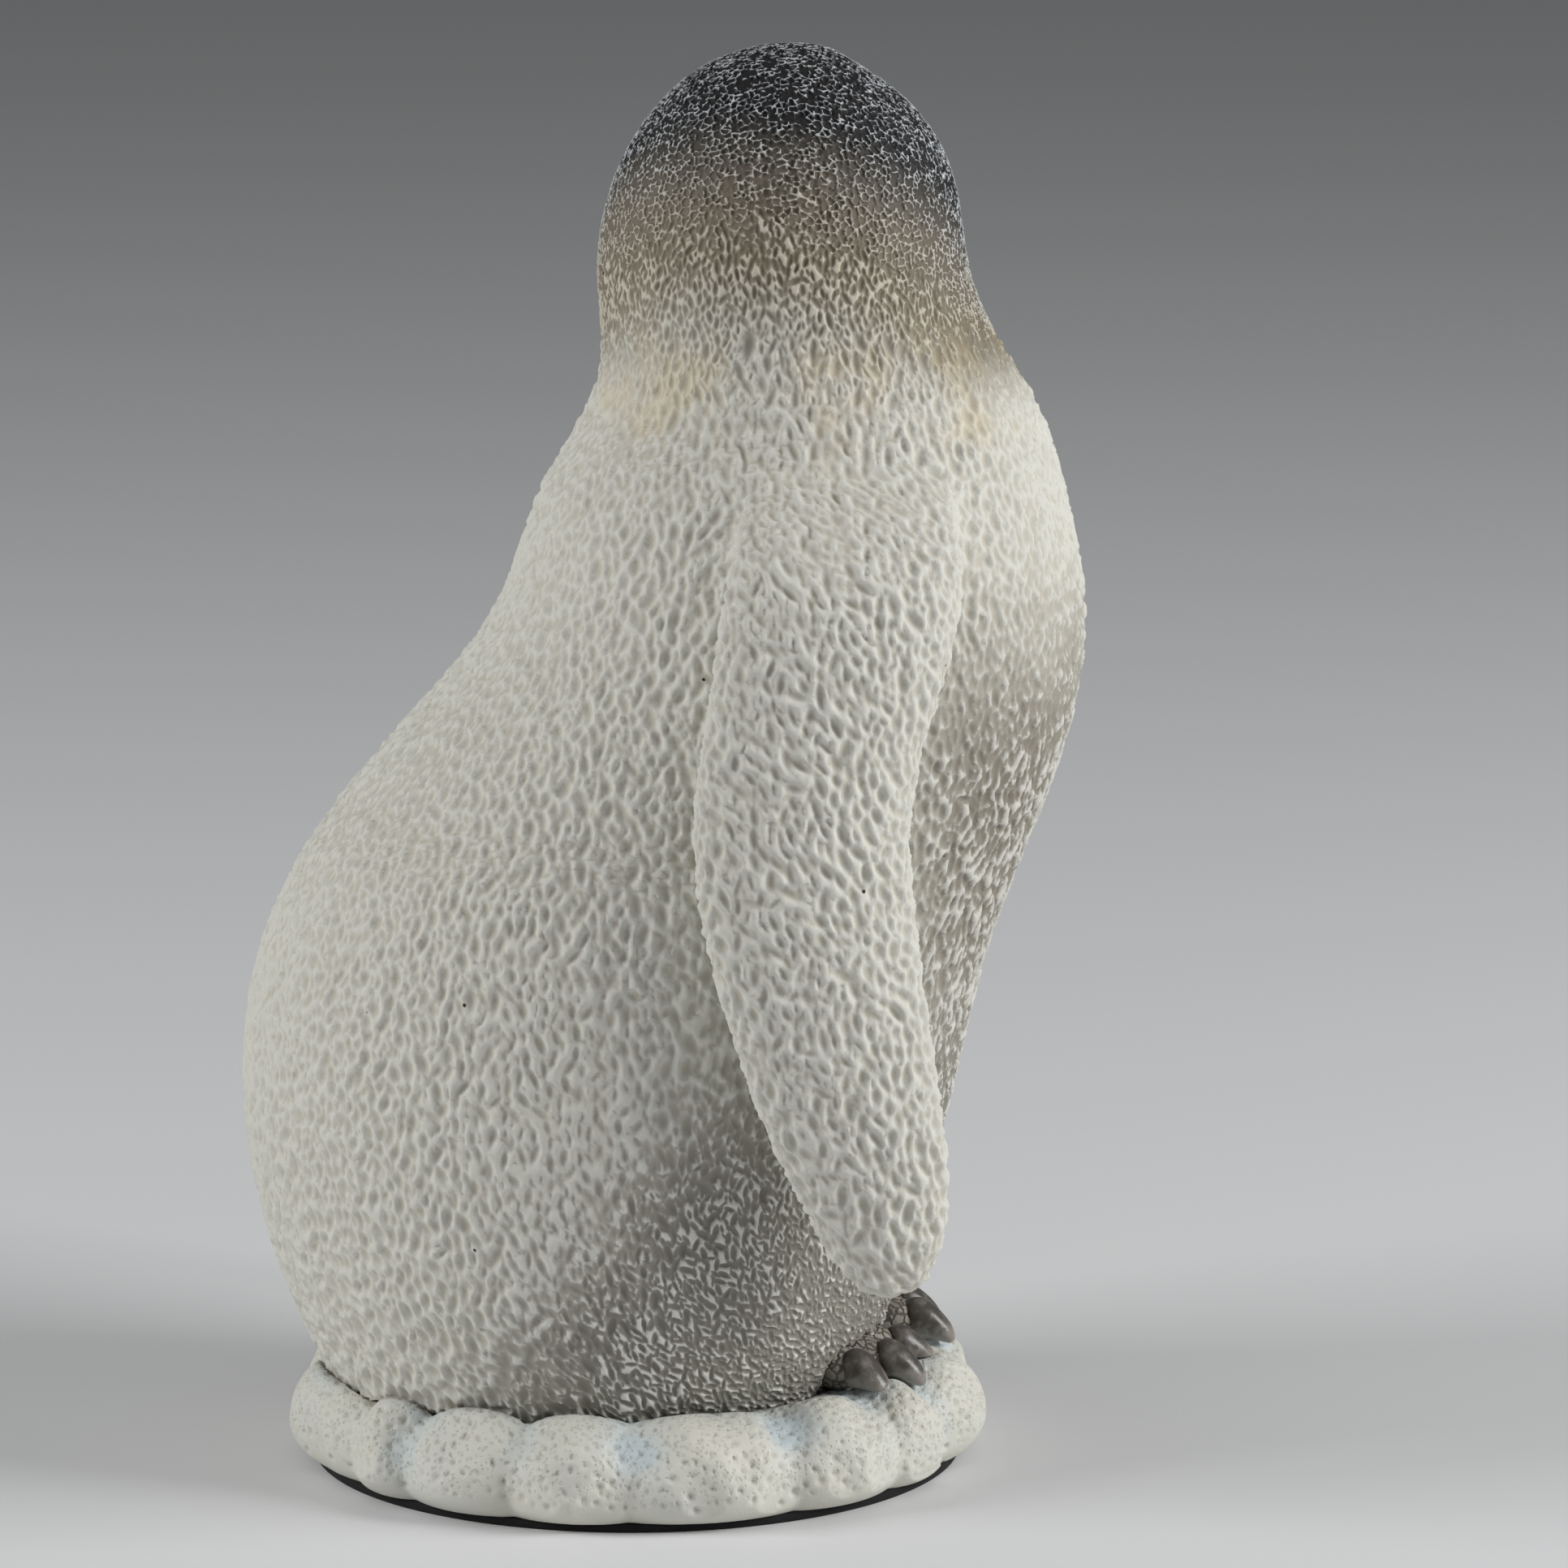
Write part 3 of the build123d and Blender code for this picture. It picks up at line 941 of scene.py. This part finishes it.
@dataclass(frozen=True)
class Chick:
    """The chick's skin: torso, head and flippers as one casting skin, cut into pieces.

    Sizes are in millimetres, and levels are heights.
    """

    grid: float = 0.38
    plug_radius: float = 7.0
    plug_depth: float = 3.0
    seat_level: float = 10.5
    seat_margin: float = 0.5
    even_rounds: int = 3
    flange: float = 0.9
    neck_level: float = 132.0
    band_levels: Tuple[float, ...] = (22.0, 33.0, 46.0, 66.0, 97.0)
    head_levels: Tuple[float, ...] = (145.0, 158.0)
    fine_level: float = 133.0
    flank_level: float = 50.0
    flank_margin: float = 2.0
    socket_gap: float = 1.0
    root_rounds: int = 160
    root_near: float = 2.4
    root_reach: float = 8.0
    root_levels: Span = (88, 112)
    seed: int = 11
    neck_margin: float = 2.0
    neck_stray: float = 2.0
    edge_stray: float = 3.0
    flank_inset: float = 3.0
    chest_ahead: float = 30.0
    chest_level: float = 100.0
    cap_wander: float = 6.0
    cap_wander_size: float = 3.0
    net_edge: Span = (-12, -9)
    net_levels: Span = (133, 137)
    nape_netted: float = 0.7
    nape_clear: float = 0.5
    face_reach: float = 3.0
    face_gap: Span = (0.4, 2.5)
    scraped_ahead: float = 20.0
    scraped_levels: Tuple[Span, ...] = ((77.0, 83.0), (125.0, 129.0))
    body_gouge: Gouge = Gouge(0.69, 1.5, 0.54, 0.95, 1.8)
    nape_gouge: Gouge = Gouge(0.4, 0.92, 0.34, 0.54, 1.1)
    crown_gouge: Gouge = Gouge(0.4, 0.4, 0.36, 0.7, 0.7)
    chest_gouge: Gouge = Gouge(0.66, 1.35, 0.54, 0.9, 1.6, 24.0)
    flank_gouge: Gouge = Gouge(0.4, 1.1, 0.36, 0.54, 1.3, 24.0)
    nick: Gouge = Gouge(0.4, 0.85, 0.36, 1.7, 2.3, 40.0)
    scrape: Gouge = Gouge(0.36, 1.3, 0.36, 0.9, 2.0, 10.0)
    crown_net: Net = Net()
    strokes: Strokes = Strokes()
    regions: Regions = Regions()
    coat: DownPaint = DownPaint()

    def build(self) -> None:
        """Models the skin, carves its pits and hands its pieces over."""
        skin = self.join_castings()
        labels, root_gaps = self.label(skin)
        self.blend_roots(skin, root_gaps)
        self.carve(skin, labels)
        store(skin, "part", labels.astype(float))
        material = self.coat.material()
        for label, name in PIECES.items():
            piece = split_off(skin, label, f"{name}_down")
            close_ends(piece, self.flange)
            slot = Slot.HEAD if label >= HEAD_LABEL else Slot.DOWN
            hand_over(piece, material, slot, name if label < TORSO_LABEL else name.split("_")[0])
        bpy.data.objects.remove(skin)

    def join_castings(self) -> Thing:
        """Joins copies of the castings and covers them with one even skin.

        Returns:
            The skin.
        """
        nodes = ("torso", "head", "right_flipper", "left_flipper")
        copies = [copy_node(node, f"{node}_copy") for node in nodes]
        middle = (self.seat_level + self.plug_depth / 2) * MM
        bpy.ops.mesh.primitive_cylinder_add(radius=self.plug_radius * MM, depth=self.plug_depth * MM,
                                            location=(0, 0, middle))
        plug = bpy.context.object
        bpy.ops.object.transform_apply(location=True, rotation=True, scale=True)
        skin = copies[0]
        only(skin)
        for obj in (*copies, plug):
            obj.select_set(True)
        bpy.ops.object.join()
        remesh(skin, self.grid)
        keep_outside(skin)
        smooth(skin, self.even_rounds)
        drop_underside(skin, self.seat_level + self.seat_margin)
        self.quarter_fine(skin)
        return skin

    def quarter_fine(self, skin: Thing) -> None:
        """Quarters the faces of the head and the flanks, where the pits are smallest.

        Args:
            skin: The skin.
        """
        points = points_of(skin)
        ahead, level = -points[:, 1], points[:, 2]
        fine = level > self.fine_level
        low = level < self.flank_level + self.flank_margin
        flank = np.flatnonzero((self.regions.into_flank(ahead, level) > 0) & low)
        to_feet = np.minimum(*(distances(f"{side.word}_foot", points[flank]) for side in Side))
        fine[flank] = (distances("torso", points[flank]) < self.socket_gap) & (to_feet > self.socket_gap)
        edit_faces(skin, fine[faces_of(skin)], lambda: bpy.ops.mesh.subdivide(number_cuts=1))

    def label(self, skin: Thing) -> Tuple[Array, Array]:
        """Tells which casting each vertex of the skin belongs to.

        Args:
            skin: The skin.

        Returns:
            Labels: 1 and 2 on the flippers, 4 to 9 up the torso, 10 to 12 up the head.
            And how far each vertex is from where a flipper meets the torso.
        """
        points = points_of(skin)
        level = points[:, 2]
        bands = TORSO_LABEL + np.searchsorted(self.band_levels, level)
        head_bands = HEAD_LABEL + np.searchsorted(self.head_levels, level)
        labels = np.where(level > self.neck_level, head_bands, bands)
        gaps = np.full(len(points), FAR)
        for label, side in ((1, Side.RIGHT), (2, Side.LEFT)):
            node = f"{side.word}_flipper"
            near = near_box(node, points, self.root_reach)
            to_blade = distances(node, points[near])
            to_torso = distances("torso", points[near])
            labels[near[to_blade < to_torso]] = label
            gaps[near] = np.maximum(to_blade, to_torso)
        return labels, gaps

    def blend_roots(self, skin: Thing, gaps: Array) -> None:
        """Softens the skin where the flippers leave the shoulders.

        Args:
            skin: The skin.
            gaps: How far each vertex is from there.
        """
        share = 1 - smooth_step(gaps, self.root_near, self.root_reach)
        share = share * smooth_step(points_of(skin)[:, 2], *self.root_levels)
        weights(skin, "root", share)
        smooth(skin, self.root_rounds, "root")

    def carve(self, skin: Thing, labels: Array) -> None:
        """Cuts the pits of the down into the skin.

        Args:
            skin: The skin.
            labels: The casting of each vertex.
        """
        carver = Carver(skin, self.seed)
        points, blades = carver.points, labels < TORSO_LABEL
        along = self.strokes.along(points, blades)
        across, ahead, level = points[:, 0], -points[:, 1], points[:, 2]
        ragged = carver.dice.normal(0, self.neck_stray, len(points))
        head = level > self.neck_level + self.neck_margin + ragged
        stray = carver.dice.normal(0, self.edge_stray, len(points))
        dark = ~blades & ~head
        flank = dark & (self.regions.into_flank(ahead, level) > self.flank_inset + stray)
        flank = flank & (level < self.flank_level + stray)
        chest = dark & (ahead > self.chest_ahead + stray) & ~flank
        chest = chest & (level < self.chest_level + 2 * stray)
        plain = ~head & ~flank & ~chest
        cap = self.regions.above_cap(level, self.regions.toward_face(across, ahead))
        wander = np.array([noise.noise(Vector(spot) / self.cap_wander_size) for spot in points])
        netted = smooth_step(cap + wander * self.cap_wander, *self.net_edge)
        netted = netted * smooth_step(level, *self.net_levels)
        clear = self.clear_of_face(points)
        nape = head & (netted < self.nape_netted) & (clear > self.nape_clear)
        for where, tool in ((flank, self.flank_gouge), (chest, self.chest_gouge), (plain, self.body_gouge),
                            (plain, self.nick), (nape, self.nape_gouge)):
            carver.cut(carver.scatter(where, along, tool), along, tool)
        centres = carver.scatter(head & (netted > 0), along, self.crown_gouge)
        carver.net(centres, netted * clear, self.crown_gouge.depth, self.crown_net)
        rearward = np.tile((0.0, 1.0, 0.0), (len(points), 1))
        for low, high in self.scraped_levels:
            where = plain & ~blades & (level > low) & (level < high) & (ahead < self.scraped_ahead)
            carver.cut(carver.scatter(where, rearward, self.scrape), rearward, self.scrape)
        carver.finish()
        store(skin, "blade", blades.astype(float))

    def clear_of_face(self, points: Array) -> Array:
        """How clear places are of the eyes and the bill, 0 beside them to 1.

        Args:
            points: Places in millimetres.

        Returns:
            One value for each place.
        """
        clear = np.ones(len(points))
        for node in ("right_eye", "left_eye", "bill"):
            near = near_box(node, points, self.face_reach)
            clear[near] *= smooth_step(distances(node, points[near]), *self.face_gap)
        return clear


@dataclass(frozen=True)
class SnowPaint:
    """The snow's paint: cream lumps with pale blue in the grooves, and small round holes."""

    cream: Colour = paint(217, 215, 204)
    blue: Colour = paint(194, 209, 216)
    # Painted shade in the snow's small holes: a darker tan.
    hole: Colour = paint(192, 186, 172)
    # Painted shade, brown and patchy, on the snow where it meets the chick's body.
    dirt: Colour = paint(126, 112, 92)
    blotch_size: float = 7.0
    groove_wander: float = 0.7
    groove_span: Span = (-0.15, 0.75)
    blue_share: float = 0.8
    hole_span: Span = (0.75, 0.2)
    hole_share: float = 0.3
    dot_scale: float = 1.45
    dot_edge: Span = (0.36, 0.2)
    dot_wander: float = 8.0
    dot_levels: Span = (3.5, 6.5)
    dot_share: float = 0.4
    dirt_blotch: Span = (0.3, 0.6)
    dirt_share: float = 0.7
    roughness: float = 0.62
    grain_size: float = 0.35
    grain_share: float = 0.4
    bump_depth: float = 0.25
    bump_strength: float = 0.5

    def material(self) -> Material:
        """Makes the material.

        Returns:
            The material.
        """
        made = Material("snow_paint", roughness=self.roughness)
        sheet, place = made.sheet, made.place()
        level = sheet.parts(place)[2]
        blotch = sheet.noise(place, self.blotch_size, detail=3.0)
        loose = blotch - NOISE_MEAN
        groove = (made.attribute("groove") + loose * self.groove_wander).step(*self.groove_span)
        # Painted shade: the punched holes and the dots drawn below take a darker tan.
        holes = made.attribute("height").step(*self.hole_span)
        dots = sheet.cells(place, self.dot_scale).step(*self.dot_edge)
        dots = dots * (level + loose * self.dot_wander).step(*self.dot_levels)
        # Painted contact shade: brown in patches on the snow next to the body.
        contact_shade_mask = made.attribute("contact") * blotch.step(*self.dirt_blotch)
        colour = sheet.mix(groove * self.blue_share, self.cream, self.blue)
        colour = sheet.mix(holes * self.hole_share, colour, self.hole)
        colour = sheet.mix(dots * self.dot_share, colour, self.hole)
        made.feed("Base Color", sheet.mix(contact_shade_mask * self.dirt_share, colour, self.dirt))
        grain = sheet.noise(place, self.grain_size, detail=3.0)
        made.bump(grain * self.grain_share - dots, self.bump_depth, self.bump_strength)
        return made


@dataclass(frozen=True)
class SnowBase:
    """The snow under the chick and the felt under the snow, in millimetres."""

    grid: float = 0.36
    even_rounds: int = 4
    skirt_level: float = 4.5
    bottom_level: float = 1.15
    dent: Gouge = Gouge(3.2, 3.8, 0.8, 6.0, 6.0, 90.0)
    dent_seed: int = 3
    dent_facing: float = -0.2
    dent_gap: float = 5.0
    open_gap: Span = (1, 4)
    soften_rounds: int = 50
    valley_rise: Span = (0.1, 0.6)
    valley_rounds: int = 140
    groove_rounds: int = 900
    groove_depth: float = 0.55
    blue_rounds: int = 110
    blue_gain: float = 2.6
    feet_reach: float = 7.0
    feet_blue: float = 0.55
    contact_gap: Span = (0.2, 1.6)
    punch: Gouge = Gouge(0.42, 0.48, 0.3, 1.2, 1.2, 90.0)
    punch_seed: int = 5
    punch_facing: float = -0.3
    punch_stray: float = 1.2
    coat: SnowPaint = SnowPaint()
    felt_colour: Colour = paint(26, 26, 27)
    felt_roughness: float = 1.0

    def build(self) -> None:
        """Models the snow and the felt and hands them over."""
        snow = even_copy("snow_base", "snow", self.grid, self.even_rounds)
        upward = np.tile((0.0, 0.0, 1.0), (len(snow.data.vertices), 1))
        self.dent_lumps(snow, upward)
        self.mark_grooves(snow)
        carver = Carver(snow, self.punch_seed)
        stray = carver.dice.normal(0, self.punch_stray, len(carver.points))
        top = carver.points[:, 2] > self.skirt_level + stray
        top = top & (carver.facing[:, 2] > self.punch_facing)
        carver.cut(carver.scatter(top, upward, self.punch), upward, self.punch)
        carver.finish()
        drop_underside(snow, self.bottom_level)
        edit(snow, lambda: bpy.ops.mesh.fill_holes(sides=0))
        hand_over(snow, self.coat.material(), Slot.SNOW, "snow_base")
        felt = copy_node("felt_pad", "felt")
        made = Material("black_felt", base_color=self.felt_colour, roughness=self.felt_roughness)
        hand_over(felt, made, Slot.FELT, "felt_pad")

    def dent_lumps(self, snow: Thing, upward: Array) -> None:
        """Dents the lumps and softens them and the valleys between them.

        Args:
            snow: The snow.
            upward: The direction of the dents at each vertex.
        """
        dents = Carver(snow, self.dent_seed)
        outer = (dents.points[:, 2] > self.skirt_level) & (dents.facing[:, 2] > self.dent_facing)
        to_body = np.zeros(len(outer))
        to_body[outer] = distances("torso", dents.points[outer])
        dents.cut(dents.scatter(to_body > self.dent_gap, upward, self.dent), upward, self.dent)
        dents.sink()
        open_snow = smooth_step(to_body, *self.open_gap)
        weights(snow, "open", open_snow)
        smooth(snow, self.soften_rounds, "open")
        weights(snow, "valley", smooth_step(self.rise(snow), *self.valley_rise) * open_snow)
        smooth(snow, self.valley_rounds, "valley")

    def rise(self, snow: Thing) -> Array:
        """How far each place would rise if the grooves were filled.

        Args:
            snow: The snow.

        Returns:
            Millimetres, negative on the lumps.
        """
        filled = snow.copy()
        filled.data = snow.data.copy()
        bpy.context.scene.collection.objects.link(filled)
        smooth(filled, self.groove_rounds)
        rise = ((points_of(filled) - points_of(snow)) * normals_of(snow)).sum(1)
        bpy.data.objects.remove(filled)
        return rise

    def mark_grooves(self, snow: Thing) -> None:
        """Marks how deep each place lies in the grooves between the lumps.

        Args:
            snow: The snow.
        """
        points, rise = points_of(snow), self.rise(snow)
        top = points[:, 2] > self.skirt_level
        to_feet, to_body = np.full(len(points), FAR), np.full(len(points), FAR)
        feet = [distances(f"{side.word}_foot", points[top]) for side in Side]
        to_feet[top], to_body[top] = np.minimum(*feet), distances("torso", points[top])
        wet = self.feet_blue * (1 - smooth_step(to_feet, 0.0, self.feet_reach))
        groove = spread(snow, np.clip(rise / self.groove_depth, 0, 1), self.blue_rounds)
        store(snow, "groove", np.clip(groove * self.blue_gain, 0, 1) + wet)
        # How near each place is to the body, which the painted contact shade on the snow follows.
        store(snow, "contact", 1 - smooth_step(to_body, *self.contact_gap))


@dataclass(frozen=True)
class HornPaint:
    """Dark horn with a paler worn ridge, for the claws and the bill."""

    dark: Colour = paint(78, 73, 68)
    worn: Colour = paint(140, 134, 126)
    wear_size: float = 1.6
    wear_span: Span = (0.42, 0.85)
    low_levels: Span = (15.0, 12.2)
    low_wear: float = 0.3
    roughness: float = 0.3
    grain_size: float = 0.8
    bump_depth: float = 0.2
    bump_strength: float = 0.3

    def material(self) -> Material:
        """Makes the material.

        Returns:
            The material.
        """
        made = Material("horn_paint", roughness=self.roughness)
        sheet, place = made.sheet, made.place()
        low = sheet.parts(place)[2].step(*self.low_levels)
        wear = sheet.noise(place, self.wear_size, detail=3.0) + low * self.low_wear
        made.feed("Base Color", sheet.mix(wear.step(*self.wear_span), self.dark, self.worn))
        grain = sheet.noise(place, self.grain_size, detail=3.0)
        made.bump(grain, self.bump_depth, self.bump_strength)
        return made


@dataclass(frozen=True)
class FootPaint:
    """Grey-brown pebbled skin with dark cracks."""

    skin: Colour = paint(166, 159, 148)
    crack: Colour = paint(84, 77, 70)
    warp_size: float = 0.9
    warp: float = 0.7
    pebble_size: float = 1.2
    crack_edge: Span = (0.0, 0.2)
    blotch_size: float = 2.5
    blotch_span: Span = (0.3, 0.6)
    blotch_share: float = 0.5
    roughness: float = 0.55
    bump_depth: float = 0.3
    bump_strength: float = 0.6

    def material(self) -> Material:
        """Makes the material.

        Returns:
            The material.
        """
        made = Material("foot_paint", roughness=self.roughness)
        sheet, place = made.sheet, made.place()
        warp = sheet.noise(place, self.warp_size, output=1)
        warp = sheet.vector("SCALE", {0: warp, "Scale": self.warp})
        warped = sheet.vector("ADD", {0: place, 1: warp})
        edge = sheet.cells(warped, 1 / self.pebble_size, "DISTANCE_TO_EDGE")
        blotch = sheet.noise(place, self.blotch_size).step(*self.blotch_span)
        pebble = edge.step(*self.crack_edge) * blotch.partly(self.blotch_share)
        made.feed("Base Color", sheet.mix(pebble, self.crack, self.skin))
        made.bump(pebble, self.bump_depth, self.bump_strength)
        return made


@dataclass(frozen=True)
class Feet:
    """Both feet and their claws."""

    foot_grid: float = 0.28
    claw_grid: float = 0.2
    even_rounds: int = 10
    toes: Tuple[str, ...] = ("outer", "middle", "inner")
    skin: FootPaint = FootPaint()

    def build(self, horn: Material) -> None:
        """Models the feet and claws and hands them over.

        Args:
            horn: The material of the claws.
        """
        skin = self.skin.material()
        for side in Side:
            node = f"{side.word}_foot"
            foot = even_copy(node, f"{node}_skin", self.foot_grid, self.even_rounds)
            hand_over(foot, skin, Slot.FOOT, node)
            for toe in self.toes:
                node = f"{side.word}_{toe}_claw"
                claw = even_copy(node, f"{node}_horn", self.claw_grid, self.even_rounds)
                hand_over(claw, horn, Slot.HORN, node)


@dataclass(frozen=True)
class Face:
    """The bill and the eyes on the hidden side of the head, in millimetres."""

    grid: float = 0.16
    even_rounds: int = 3
    eye_colour: Colour = paint(12, 11, 11)
    eye_roughness: float = 0.08
    lid_colour: Colour = paint(74, 68, 62)
    lid_roughness: float = 0.6
    lid_out: float = 1.45
    lid_radius: float = 2.5
    lid_half: float = 0.55
    lid_segments: Tuple[int, int] = (64, 16)
    regions: Regions = Regions()

    def build(self, horn: Material) -> None:
        """Models the bill and the eyes and hands them over.

        Args:
            horn: The material of the bill.
        """
        bill = even_copy("bill", "bill_horn", self.grid, self.even_rounds)
        hand_over(bill, horn, Slot.HORN, "bill")
        glass = Material("eye_glass", base_color=self.eye_colour, roughness=self.eye_roughness)
        skin = Material("eyelid_paint", base_color=self.lid_colour, roughness=self.lid_roughness)
        for side in Side:
            eye = copy_node(f"{side.word}_eye", f"{side.word}_eye_ball")
            hand_over(eye, glass, Slot.EYE, f"{side.word}_eye")
            hand_over(self.eyelid(side), skin, Slot.HEAD, "head")

    def eyelid(self, side: Side) -> Thing:
        """Models the thin lid round an eye.

        Args:
            side: The chick's side.

        Returns:
            The lid.
        """
        low, high = (Vector(corner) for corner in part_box(f"{side.word}_eye"))
        middle = (low + high) / 2
        out = Vector((middle.x, middle.y + self.regions.head_forward * MM, 0)).normalized()
        bpy.ops.object.select_all(action="DESELECT")
        bpy.ops.mesh.primitive_torus_add(
            location=middle + out * self.lid_out * MM, rotation=out.to_track_quat("Z", "Y").to_euler(),
            major_segments=self.lid_segments[0], minor_segments=self.lid_segments[1],
            major_radius=self.lid_radius * MM, minor_radius=self.lid_half * MM)
        lid = bpy.context.object
        lid.name = lid.data.name = f"{side.word}_eyelid"
        bpy.ops.object.transform_apply(location=True, rotation=True, scale=True)
        return lid


@dataclass(frozen=True)
class Lamp:
    """A soft square lamp: its name, place and side in metres, and its power in watts."""

    name: str
    place: Place
    size: float
    power: float


@dataclass(frozen=True)
class Stage:
    """The floor, the lamps and the camera, in metres."""

    floor_size: float = 14.0
    floor_roughness: float = 0.7
    room_colour: Colour = paint(226, 227, 228)
    world_strength: float = 0.16
    lamps: Tuple[Lamp, ...] = (Lamp("key_lamp", (-0.25, -0.95, 0.55), 0.5, 9.2),
                               Lamp("fill_lamp", (-0.25, 0.95, 0.55), 0.5, 6.4),
                               Lamp("top_lamp", (-0.1, 0.0, 1.2), 0.8, 1.0))
    aim: Place = (0.0, 0.0, 0.085)
    camera_place: Place = (-0.9, -0.0181, 0.25807)
    camera_pitch: float = 11.024
    camera_lens: float = 173.8
    sensor: float = 36.0

    def build(self) -> None:
        """Sets the stage."""
        self.lay_floor()
        for lamp in self.lamps:
            self.hang(lamp)
        self.light_world()
        self.set_camera()
        bpy.context.scene.view_settings.view_transform = "Standard"

    def lay_floor(self) -> None:
        """Lays a plain pale floor."""
        bpy.ops.object.select_all(action="DESELECT")
        bpy.ops.mesh.primitive_plane_add(size=self.floor_size, location=(0, 0, 0))
        floor = bpy.context.object
        floor.name = "floor"
        made = Material("floor_paint", base_color=self.room_colour, roughness=self.floor_roughness)
        floor.data.materials.append(made.made)

    def hang(self, lamp: Lamp) -> None:
        """Hangs a lamp so that it faces the object.

        Args:
            lamp: The lamp.
        """
        data = bpy.data.lights.new(lamp.name, "AREA")
        data.size = lamp.size
        data.energy = lamp.power
        obj = bpy.data.objects.new(lamp.name, data)
        obj.location = lamp.place
        obj.rotation_euler = (Vector(self.aim) - Vector(lamp.place)).to_track_quat("-Z", "Y").to_euler()
        bpy.context.scene.collection.objects.link(obj)

    def light_world(self) -> None:
        """Fills the room with an even pale light."""
        world = bpy.data.worlds.new("room")
        world.use_nodes = True
        background = world.node_tree.nodes["Background"]
        background.inputs["Color"].default_value = (*self.room_colour, 1.0)
        background.inputs["Strength"].default_value = self.world_strength
        bpy.context.scene.world = world

    def set_camera(self) -> None:
        """Puts the camera where the photograph was taken from."""
        data = bpy.data.cameras.new("camera")
        data.lens = self.camera_lens
        data.sensor_width = self.sensor
        camera = bpy.data.objects.new("camera", data)
        camera.location = self.camera_place
        pitch = math.radians(self.camera_pitch)
        ahead = Vector((math.cos(pitch), 0, -math.sin(pitch)))
        camera.rotation_euler = ahead.to_track_quat("-Z", "Y").to_euler()
        bpy.context.scene.collection.objects.link(camera)
        bpy.context.scene.camera = camera


def main() -> None:
    """Builds the stage and every piece, then notes the sizes."""
    logging.basicConfig(level=logging.INFO, format="%(name)s: %(message)s", force=True)
    noise.seed_set(NOISE_SEED)
    Stage().build()
    Chick().build()
    SnowBase().build()
    horn = HornPaint().material()
    Feet().build(horn)
    Face().build(horn)


if __name__ == "__main__":
    main()
